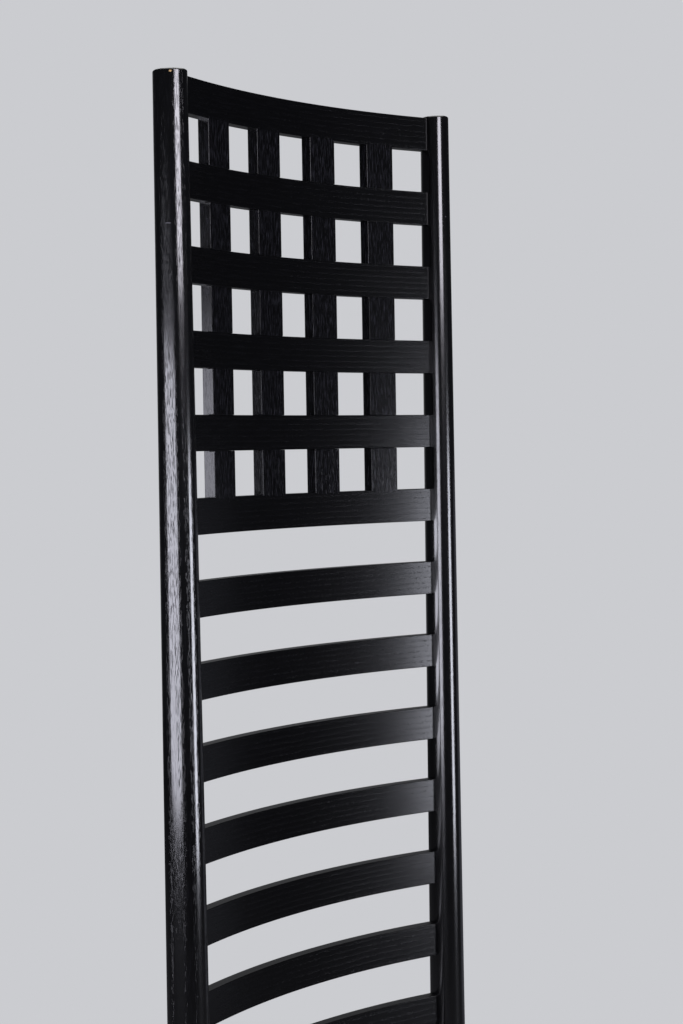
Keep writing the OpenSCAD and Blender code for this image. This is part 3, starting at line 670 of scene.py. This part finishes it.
def fitted(piece, along, node):  # rebated if the seat rests on it, eased, and given its grain
    if not node.endswith("stretcher"):
        cut = piece.modifiers.new("pocket", "BOOLEAN")
        cut.operation, cut.solver, cut.object = "DIFFERENCE", "EXACT", pocketCutter
        settle(piece)
    easeEdges(piece, base["edge"], 3)
    p = pointsOf(piece)
    along = np.array(Vector(along).normalized())
    up = np.array((0, 0, 1.0)) if abs(along[2]) < 0.5 else np.array((1.0, 0, 0))
    offset = dice.uniform(0, 3)
    storeGrain(piece, np.stack([p @ along + offset, p @ up + 0.3 * offset, p @ np.cross(along, up)], 1))
    carried(piece, node)


def frontLeg(name, side):
    x0, y0 = side * frontX, frontY
    verts = []
    for z in (base["footZ"], base["taperZ"], base["railTop"]):
        w = legWidth(z)
        verts += [(x0, y0, z), (x0 - side * w, y0, z), (x0 - side * w, y0 + w, z), (x0, y0 + w, z)]
    return outward(meshPiece(name, verts, tubeFaces(4, 3), ashPost))


near, far = frontY + base["legTop"] - base["overlap"], postY(railMid) - base["railEnd"]
for side, word in ((-1, "left"), (1, "right")):
    fitted(frontLeg(f"{word}LegTapered", side), (0, 0, 1), f"{word}_front_leg")
    corners = ((near, -halfRail), (near, halfRail), (far, halfRail), (far, -halfRail))
    plan = [(side * sideLine(y, inside), y) for y, inside in corners]
    fitted(prism(f"{word}SideRail", plan, railLow, railHigh, ashRail),
           (-side * sin(sideTurn), cos(sideTurn), 0), f"{word}_seat_rail")
    for step, rung in ((1, "upper"), (3, "lower")):
        z = back["lowerTopZ"] - step * back["ladderPitch"]
        w = legWidth(z)
        start = Vector((frontX - w / 2, frontY + w / 2))
        end = Vector((back["postX"], postY(z)))
        way = (end - start).normalized()
        sideways = Vector((way.y, -way.x)) * base["rungThick"] / 2
        a, b = start + way * base["rungEnd"], end - way * base["rungEnd"]
        plan = [(side * p.x, p.y) for p in (a + sideways, b + sideways, b - sideways, a - sideways)]
        fitted(prism(f"{word}{rung.title()}Rung", plan, z, z + base["rungHeight"], ashRail),
               (side * way.x, way.y, 0), f"{word}_{rung}_stretcher")
x, y = legInner + base["overlap"], frontRailY + base["railThick"]
plan = [(-x, frontRailY), (x, frontRailY), (x, y), (-x, y)]
fitted(prism("frontRail", plan, railLow, railHigh, ashRail), (1, 0, 0), "front_seat_rail")
half = [(sideLine(y, halfRail) + base["rearRailIn"], y) for y in (rearRailY, far)]
half.append((back["postX"] - base["rearRailEnd"], rearRailY + base["railThick"]))
plan = half + [(-x, y) for x, y in reversed(half)]
fitted(prism("rearRail", plan, railLow, railHigh, ashRail), (1, 0, 0), "rear_seat_rail")
z = back["lowerTopZ"] - 2 * back["ladderPitch"]
w = legWidth(z)
x, y, t = frontX - w + base["rungIn"], frontY + w / 2, base["rungThick"] / 2
plan = [(-x, y - t), (x, y - t), (x, y + t), (-x, y + t)]
fitted(prism("frontRung", plan, z, z + base["rungHeight"], ashRail), (1, 0, 0), "front_stretcher")
bpy.data.objects.remove(pocketCutter)
print("legs, seat rails and stretchers made")

# Nodes that stay as they are get a better material
blocks = [f"{end}_{side}_block" for end in ("front", "rear") for side in ("left", "right")]
for material, kept in (
        (zincSteel, ["corner_screws", "glide_nails"]),
        (mouldedNylon, ["foot_glides"]),
        (beechAcross, blocks + ["seat_front_member", "seat_rear_member", "seat_dowels"]),
        (beechAlong, ["seat_left_member", "seat_right_member"])):
    for name in kept:
        nodes[name].data.materials.clear()
        nodes[name].data.materials.append(material)


# The drop-in seat. Wool cloth the colour of charcoal is drawn over a foam pad and turned under the frame.
seat = {
    "gap": 0.001,
    "seatZ": 0.4062,
    "webZ": 0.4274,
    "hessianZ": 0.4302,
    "padZ": 0.4310,
    "padSideZ": 0.4355,
    "shoulderZ": 0.4490,
    "crown": 0.013,
    "roll": 0.009,
    "swell": 0.0015,
    "clothThick": 0.0012,
    "softGap": 0.0003,
    "skirt": (  # in from the cover's side, and height: down the side and under the frame
        (0, 0.4365), (0, 0.4320), (0, 0.4274), (0, 0.4222), (0, 0.4170), (0, 0.4118), (0.0004, 0.4070),
        (0.0014, 0.4062), (0.006, 0.4062), (0.011, 0.4062), (0.016, 0.4062), (0.022, 0.4062)),
    "halfWidth": 0.17,
    "halfDepth": 0.155,
    "count": 256,  # points round the seat, about 5 mm apart
    "cloth": {"quality": 6, "mass": 0.25, "tension_stiffness": 12, "compression_stiffness": 12,
              "shear_stiffness": 4, "bending_stiffness": 0.6, "use_pressure": True,
              "uniform_pressure_force": 4.0, "vertex_group_mass": "held"},
    "cap": 0.004,  # the farthest that the cloth may move
    "heldZ": 0.433,
    "pressSteps": 20,
}


def cornered(outline):  # even steps along each side, so that the cloth's squares meet in the corners
    p, n = np.array(outline), seat["count"] // 4
    picks = [int(np.argmax(p @ np.array(way))) for way in ((-1, -1.0), (1, -1.0), (1, 1.0), (-1, 1.0))]
    made = []
    for start, stop in zip(picks, picks[1:] + picks[:1]):
        part = p[start:stop + 1] if stop > start else np.concatenate([p[start:], p[:stop + 1]])
        run = np.concatenate([[0], np.cumsum(np.hypot(*np.diff(part, axis=0).T))])
        at = np.arange(n) / n * run[-1]
        made.append(np.stack([np.interp(at, run, part[:, 0]), np.interp(at, run, part[:, 1])], 1))
    return np.concatenate(made)


def ringAt(inset, z):
    flat = cornered(seatOutline(inset))
    return np.column_stack([flat, np.full(len(flat), z)])


def patch(ring, height):  # a square of cloth filled in between the four sides of a ring
    n = seat["count"] // 4
    a, b, c, d = (ring[i * n:(i + 1) * n] for i in range(4))
    front, right = np.vstack([a, b[:1]]), np.vstack([b, c[:1]])
    rear, left = np.vstack([c, d[:1]])[::-1], np.vstack([d, a[:1]])[::-1]
    u = np.linspace(0, 1, n + 1)[:, None, None]
    v = np.linspace(0, 1, n + 1)[None, :, None]
    grid = (1 - v) * front[:, None] + v * rear[:, None] + (1 - u) * left[None] + u * right[None]
    grid -= (1 - u) * (1 - v) * front[0] + u * (1 - v) * front[-1] + (1 - u) * v * rear[0] + u * v * rear[-1]
    away = np.hypot(grid[..., 0], grid[..., 1] - padMidY)
    bearing = np.arctan2(grid[..., 1] - padMidY, grid[..., 0])
    edgeBearing = np.arctan2(ring[:, 1] - padMidY, ring[:, 0])
    order = np.argsort(edgeBearing)
    edgeAway = np.hypot(ring[:, 0], ring[:, 1] - padMidY)
    reach = np.interp(bearing, edgeBearing[order], edgeAway[order], period=2 * pi)
    share = np.clip(away / reach, 0, 1)
    grid[..., 2] = ring[0, 2] + height * (1 - share ** 2)
    return grid


def padForm(name, inset, top, skirt, material, closed):  # crown, roll and side: a patch and rings round it
    out, roll = inset - seat["swell"], seat["roll"]
    shoulder = top - seat["crown"]
    turns = [pi / 2 * k / 4 for k in range(5)]
    rings = [ringAt(out + roll * (1 - sin(a)), shoulder - roll * (1 - cos(a))) for a in turns]
    grid = patch(rings[0], seat["crown"])
    n = seat["count"] // 4
    verts = list(grid.reshape(-1, 3))
    index = np.arange((n + 1) ** 2).reshape(n + 1, n + 1).tolist()
    faces = [(index[i][j], index[i + 1][j], index[i + 1][j + 1], index[i][j + 1])
             for i in range(n) for j in range(n)]
    last = [index[i][0] for i in range(n)] + [index[n][j] for j in range(n)]
    last += [index[n - i][n] for i in range(n)] + [index[0][n - j] for j in range(n)]
    for ring in rings[1:] + [ringAt(i, z) for i, z in skirt]:
        now = list(range(len(verts), len(verts) + len(ring)))
        verts += list(ring)
        faces += list(zip(last, now, now[1:] + now[:1], last[1:] + last[:1]))
        last = now
    faces += [tuple(last)] if closed else []
    return outward(meshPiece(name, verts, faces, material)), last[0]


def weaveFromPlan(piece):  # the cloth's threads run across and along the seat, and on down its sides
    p = pointsOf(piece)
    flat = p.copy()
    low = np.clip(seat["shoulderZ"] - p[:, 2], 0, None)
    acrossSide = np.abs(p[:, 0]) / seat["halfWidth"] > np.abs(p[:, 1] - padMidY) / seat["halfDepth"]
    flat[:, 0] += np.where(acrossSide, np.sign(p[:, 0]) * low, 0)
    flat[:, 1] += np.where(acrossSide, 0, np.sign(p[:, 1] - padMidY) * low)
    storeGrain(piece, flat, "weave")


def movePoints(piece, places):
    piece.data.vertices.foreach_set("co", places.astype(np.float32).ravel())
    piece.data.update()


def blowUp(piece):  # pressure rounds the cloth out over the pad, its lower part held
    held = piece.vertex_groups.new(name="held")
    rest = pointsOf(piece).astype(float)
    held.add([int(i) for i in np.nonzero(rest[:, 2] < seat["heldZ"])[0]], 1.0, "REPLACE")
    cloth = piece.modifiers.new("cloth", "CLOTH")
    for setting, value in seat["cloth"].items():
        setattr(cloth.settings, setting, value)
    cloth.settings.effector_weights.gravity = 0
    cloth.point_cache.frame_start, cloth.point_cache.frame_end = 1, seat["pressSteps"]
    for step in range(1, seat["pressSteps"] + 1):
        scene.frame_set(step)
    move = pointsOf(settle(piece)) - rest
    scene.frame_set(1)
    far = np.linalg.norm(move, axis=1, keepdims=True)
    move *= seat["cap"] * np.tanh(far / seat["cap"]) / np.maximum(far, 1e-9)
    movePoints(piece, rest + move)
    print("cloth moved", round(float(far.max() * 1000), 2), "mm at most")
    piece.vertex_groups.clear()
    return move


woolCloth = wovenMaterial("woolWovenCharcoal")
juteWebbing = wovenMaterial(
    "juteWebbingWoven", thread=0.0024, warp="#a68a58", warpPale="#c2a877", weft="#94794a", weftPale="#b59b69",
    gap=0.4, sheen=0.1)
juteHessian = wovenMaterial(
    "juteHessianWoven", thread=0.0019, warp="#a98e5f", warpPale="#c7b081", weft="#9c8152", weftPale="#bda576",
    gap=0.15, relief=0.9, roughness=0.9, sheen=0.1)
cottonLining = wovenMaterial(
    "cottonLiningWoven", thread=0.0007, warp="#232327", warpPale="#2e2e33", weft="#1f1f23",
    weftPale="#2a2a2f", gap=0.7, relief=0.4, roughness=0.8, sheen=0.1)


def foamMaterial(name):  # cut polyurethane foam: pale yellow, open cells of about a millimetre
    material, add = startMaterial(name)
    here = add("TexCoord").outputs["Object"]
    cells = add("TexVoronoi", {"Vector": here, "Scale": 900.0})
    stain = add("TexNoise", {"Vector": here, "Scale": 25.0, "Detail": 3.0})
    colour = add("Mix", {"Factor": stain, "A": "#e9dfae", "B": "#dccf96"}, data_type="RGBA")
    bump = add("Bump", {"Strength": 0.6, "Distance": 0.0005, "Height": cells})
    add("OutputMaterial", (add("BsdfPrincipled", {
        "Base Color": colour, "Roughness": 0.95, "IOR": 1.4, "Normal": bump}),))
    return material


# The cover, and the foam that the cloth presses into shape
foamGap = seat["gap"] + seat["clothThick"] + seat["softGap"]
foamTop = seat["shoulderZ"] + seat["crown"]
foamSkirt = [(foamGap, seat["padSideZ"]), (foamGap, seat["padZ"])]
foam, underside = padForm("foamPad", foamGap, foamTop, foamSkirt, foamMaterial("polyurethaneFoamCut"), True)
skirt = [(seat["gap"] + i, z) for i, z in seat["skirt"]]
coverTop = foamTop + seat["softGap"] + seat["clothThick"]
cover = padForm("seatCover", seat["gap"], coverTop, skirt, woolCloth, False)[0]
move = blowUp(cover)
soft = pointsOf(foam)
soft[:underside] += move[:underside]  # the foam follows the cloth, down to its lowest ring
movePoints(foam, soft)
smoothFaces(foam)
carried(foam, "foam_pad", body="seat", slot="foam")
weaveFromPlan(cover)
smoothFaces(cover)
thick = cover.modifiers.new("thickness", "SOLIDIFY")
thick.thickness, thick.offset = seat["clothThick"] - 0.0002, -1
finer = cover.modifiers.new("finer", "SUBSURF")
finer.levels = finer.render_levels = 1
settle(cover)
carried(cover, "seat_cover", body="seat", slot="seat_cloth")
print("foam and cover made")


# Three straps each way, each going over and under the ones it crosses
strap = {"width": 0.050, "pitch": 0.080, "inset": 0.015, "thick": 0.0014, "clear": 0.0001, "step": 0.004,
         "slope": 0.014, "weaveShift": 0.003}
longMiddles = [(i - 1) * strap["pitch"] for i in range(3)]
crossMiddles = [padMidY + middle for middle in longMiddles]


def strapPiece(name, middles, crossings, acrossSeat, sign):
    verts, faces, places = [], [], []
    section = [(w / 4, 0.5) for w in range(-2, 3)] + [(w / 4, -0.5) for w in range(2, -3, -1)]
    for number, middle in enumerate(middles):
        low, high = pocketFront + strap["inset"], pocketRear - strap["inset"]
        if acrossSeat:
            high = sideLine(middle + strap["width"] / 2, pocketInside + strap["inset"])
            low = -high
        steps = round((high - low) / strap["step"])
        first = len(verts)
        for j in range(steps + 1):
            run = low + (high - low) * j / steps
            lift = 0.0
            for i, c in enumerate(crossings):
                near = max(0.0, 1 - max(0.0, abs(run - c) - strap["width"] / 2) / strap["slope"])
                lift += (1 if (i + number) % 2 == 0 else -1) * sign * near * near * (3 - 2 * near)
            mid = seat["webZ"] + strap["thick"] + lift * strap["thick"] / 2
            for w, face in section:
                off = middle + w * strap["width"]
                z = mid + face * (strap["thick"] - strap["clear"])
                thread = off + strap["weaveShift"] * number
                verts.append((run, off, z) if acrossSeat else (off, run, z))
                places.append((run, thread, 0) if acrossSeat else (thread, run, 0))
        faces += [tuple(first + i for i in face) for face in tubeFaces(len(section), steps + 1)]
    piece = outward(meshPiece(name, verts, faces, juteWebbing))
    storeGrain(piece, places, "weave")
    return piece


crossStraps = strapPiece("crossStraps", crossMiddles, longMiddles, True, 1)
carried(crossStraps, "cross_webbing", body="seat", slot="webbing")
longStraps = strapPiece("longStraps", longMiddles, crossMiddles, False, -1)
carried(longStraps, "long_webbing", body="seat", slot="webbing")

# The hessian under the foam and the dust cover under the frame, both tacked down flat
sheets = {"hessianInset": 0.006, "hessianThick": 0.0008, "liningInset": 0.011, "liningThick": 0.0005,
          "clear": 0.00005}


def flatCloth(name, outline, low, thick, material, slot, node):
    piece = prism(name, outline, low + sheets["clear"], low + thick - sheets["clear"], material)
    storeGrain(piece, pointsOf(piece), "weave")
    carried(piece, node, body="seat", slot=slot)


def liningOutline():  # the dust cover's outline, with the front legs' corners cut out
    inset = sheets["liningInset"]
    notchX, notchY = legInner - seat["gap"], frontY + base["legTop"] + seat["gap"]
    right = [p for p in seatOutline(inset) if p[0] > -1e-9]
    kept = [p for p in right if not (p[0] > notchX and p[1] < notchY)]
    first = next(i for i, p in enumerate(kept) if p[1] > notchY)
    kept[first:first] = [(notchX, pocketFront + inset), (notchX, notchY),
                         (sideLine(notchY, pocketInside + inset), notchY)]
    return kept + [(-x, y) for x, y in reversed(kept) if x > 1e-9]


flatCloth("hessianSheet", seatOutline(sheets["hessianInset"]), seat["hessianZ"], sheets["hessianThick"],
          juteHessian, "hessian", "hessian_sheet")
flatCloth("dustCover", liningOutline(), seat["seatZ"] - sheets["liningThick"], sheets["liningThick"],
          cottonLining, "lining", "dust_cover")


# Steel tacks with low domed heads, spread along the four edges of the dust cover
tack = {"inset": 0.015, "end": 0.070, "pitch": 0.040}
tackValues = {"Head Radius": 0.004, "Head Height": 0.0008, "Shank Radius": 0.0009, "Length": 0.011,
              "Steel": zincSteel}


def tackPlaces():
    def spread(run):
        n = round(run / tack["pitch"])
        return [(i / n - 0.5) * run for i in range(n + 1)]

    places = []
    for edgeY, y in ((pocketFront, pocketFront + tack["inset"]), (pocketRear, pocketRear - tack["inset"])):
        places += [(x, y) for x in spread(2 * (sideLine(edgeY, pocketInside) - tack["end"]))]
    for side in (-1, 1):
        for y in spread(pocketRear - pocketFront - 2 * tack["end"]):
            places.append((side * sideLine(padMidY + y, pocketInside + tack["inset"]), padMidY + y))
    return places


def tackTree():
    tree, sockets, add = newTree("domedTacks", tackValues, fromPoints=True)
    given = add("NodeGroupInput").outputs
    ball = add("MeshUVSphere", {"Segments": 20, "Rings": 8, "Radius": 1.0})
    spot = add("SeparateXYZ", (add("InputPosition"),)).outputs
    lower = add("Math MINIMUM", (spot["Z"], 0.0))
    domed = add("CombineXYZ", (spot["X"], spot["Y"], lower))
    head = add("SetPosition", {"Geometry": ball, "Position": domed})
    size = add("CombineXYZ", (given["Head Radius"], given["Head Radius"], given["Head Height"]))
    sized = add("Transform", {"Geometry": head, "Scale": size})
    shank = add("MeshCone", {"Vertices": 12, "Radius Top": 0.0001, "Radius Bottom": given["Shank Radius"],
                             "Depth": given["Length"]}, fill_type="NGON")
    both = add("JoinGeometry", (sized,))
    tree.links.new(shank.outputs["Mesh"], both.inputs[0])
    laid = add("InstanceOnPoints", {"Points": given["Geometry"], "Instance": both})
    real = add("RealizeInstances", (laid,))
    add("NodeGroupOutput", (add("SetMaterial", {"Geometry": real, "Material": given["Steel"]}),))
    return tree, sockets


tacks = meshPiece("tacksDomed", [(x, y, seat["seatZ"] - sheets["liningThick"]) for x, y in tackPlaces()], [])
runTree(tacks, *tackTree(), tackValues)
carried(tacks, "cover_tacks", body="seat", slot="steel")
print("seat made")


# Floor, backdrop, lights and camera
studio = {
    "floorColour": "#dfded8",
    "floorReflected": "#77777a",
    "floorRadius": 6.0,
    "floorSides": 96,
    "floorZ": -0.0002,
    "backdrop": "#cbccd0",
    "fade": (0.45, 1.4, 0.3),  # to plain colour, from and to these reaches, and its share under the chair
    "behind": (0.69, 0.72, 0.0),  # the way from the camera to the backdrop
    "behindWidth": (0.75, 0.95),
    "reflected": 0.25,  # how strongly the backdrop shows in the lacquer
    "fill": 0.035,
    "fillColour": "#c4c7d6",
}


def floorMaterial():
    material, add = startMaterial("studioFloorPainted")
    isCamera = add("LightPath").outputs["Is Camera Ray"]
    lit = add("BsdfDiffuse", {"Color": studio["floorColour"]})
    plain = add("Emission", {"Color": studio["backdrop"]})
    dim = add("BsdfDiffuse", {"Color": studio["floorReflected"]})
    away = add("VectorMath LENGTH", (add("TexCoord").outputs["Object"],))
    fade = add("MapRange", (away, *studio["fade"]), interpolation_type="SMOOTHSTEP")
    add("OutputMaterial", (add("MixShader", (isCamera, dim, add("MixShader", (fade, lit, plain)))),))
    return material


turns = [2 * pi * i / studio["floorSides"] for i in range(studio["floorSides"])]
reach = studio["floorRadius"]
rim = [(reach * cos(a), reach * sin(a), studio["floorZ"]) for a in turns]
floor = meshPiece("studioFloor", rim, [tuple(range(len(rim)))], floorMaterial())

world = bpy.data.worlds.new("studioWorld")
scene.world = world
world.use_nodes = True
world.node_tree.nodes.clear()
add = partial(addNode, world.node_tree)
path = add("LightPath").outputs
way = add("VectorMath DOT_PRODUCT", (add("TexCoord").outputs["Generated"], studio["behind"]))
rear = add("MapRange", (way, *studio["behindWidth"], 0.0, studio["reflected"]),
           interpolation_type="SMOOTHSTEP")
mirrored = add("Math MAXIMUM", (path["Is Glossy Ray"], path["Is Transmission Ray"]))
shown = add("Math MULTIPLY", (mirrored, rear))
backdrop = add("Math MAXIMUM", (shown, path["Is Camera Ray"]))
seenColour = add("Background", {"Color": studio["backdrop"], "Strength": 1.0})
restColour = add("Background", {"Color": studio["fillColour"], "Strength": studio["fill"]})
add("OutputWorld", (add("MixShader", (backdrop, restColour, seenColour)),))


def softbox(name, centre, aim, size, radiance, hexValue):
    lamp = bpy.data.lights.new(name, "AREA")
    lamp.shape, lamp.size, lamp.size_y = "RECTANGLE", size[0], size[1]
    lamp.energy = radiance * pi * size[0] * size[1]
    lamp.color = linearColour(hexValue)[:3]
    box = bpy.data.objects.new(name, lamp)
    scene.collection.objects.link(box)
    box.location = centre
    box.rotation_euler = (Vector(aim) - Vector(centre)).to_track_quat("-Z", "Y").to_euler()
    box.visible_camera = False


lamps = {  # where each stands and what it faces, its width and height, how bright it looks, and its colour
    "sideSoftbox": ((-1.654, 0.208, 0.932), (-0.164, 0.150, 0.932), (1.54, 0.70), 5.5, "#eeeefc"),
    "upperSoftbox": ((-0.658, -1.372, 1.78), (-0.164, 0.150, 1.78), (0.89, 0.70), 7.3, "#f4f1fd"),
    "lowerSoftbox": ((0.535, -1.94, 0.79), (0.0, 0.143, 0.79), (0.79, 0.75), 8.0, "#eceefb"),
    "rightCard": ((2.3, -0.1, 0.52), (0.0, 0.150, 0.52), (1.6, 1.1), 0.14, "#e8ecff"),
    "topSoftbox": ((0.0, 0.0, 3.2), (0.0, 0.0, 0.0), (2.6, 2.6), 1.8, "#ffffff"),
    "rearSoftbox": ((1.3, 1.5, 2.8), (0.0, 0.1, 0.7), (1.2, 1.2), 1.5, "#ffffff"),
}
for name, values in lamps.items():
    softbox(name, *values)

view = {"place": (-1.1681, -0.91425, 1.1511), "tilt": 90 - 2.817, "turn": -48.12, "lens": 68.57}
camera = bpy.data.objects.new("camera", bpy.data.cameras.new("camera"))
scene.collection.objects.link(camera)
camera.location = view["place"]
camera.rotation_euler = (radians(view["tilt"]), 0, radians(view["turn"]))
camera.data.lens = view["lens"]
scene.camera = camera
scene.view_settings.view_transform = "Standard"

print("scene done")
